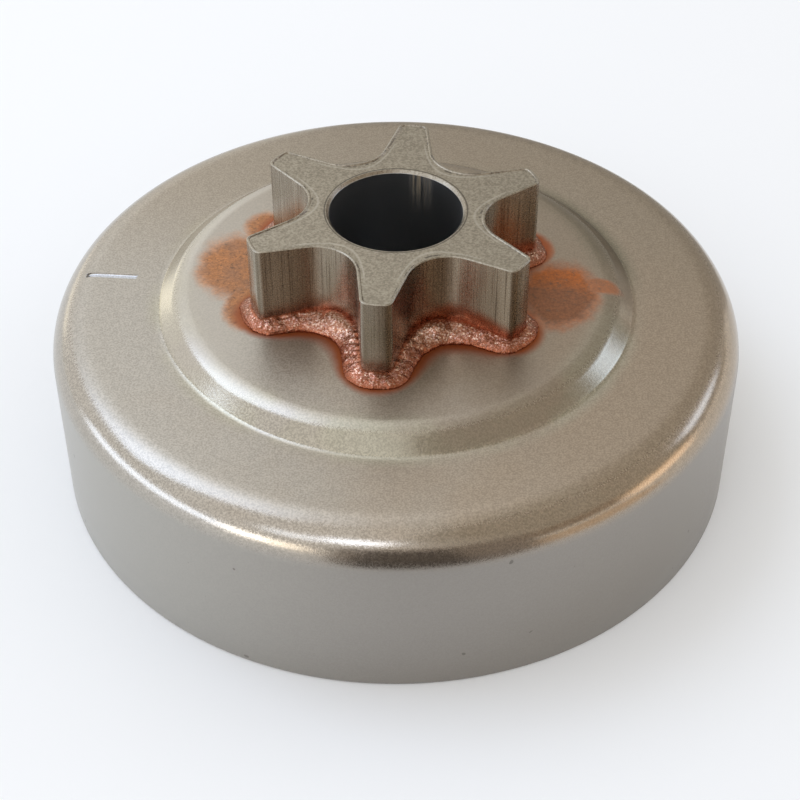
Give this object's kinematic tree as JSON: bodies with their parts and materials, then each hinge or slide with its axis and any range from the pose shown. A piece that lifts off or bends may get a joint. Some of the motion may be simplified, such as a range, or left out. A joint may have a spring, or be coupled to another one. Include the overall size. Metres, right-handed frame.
{
  "type": "chainsaw clutch drum sprocket",
  "caption": "Drawn steel clutch drum of a chainsaw with a toothed spur sprocket brazed on its raised face and a bore for a needle cage.",
  "frame": {"origin": "centre of the open rim's plane, on the axis of the bore", "axes": "+Z along the bore's axis from the open rim towards the sprocket; one tooth points along -Y"},
  "size_m": [0.069, 0.069, 0.0295],
  "materials": {
    "drum_steel": "satin",
    "sprocket_steel": "machined",
    "braze_copper": "rough cast copper"
  },
  "bodies": {
    "root": {"clutch_drum": "drum_steel", "spur_sprocket": "sprocket_steel", "braze_bead": "braze_copper"}
  },
  "joints": []
}
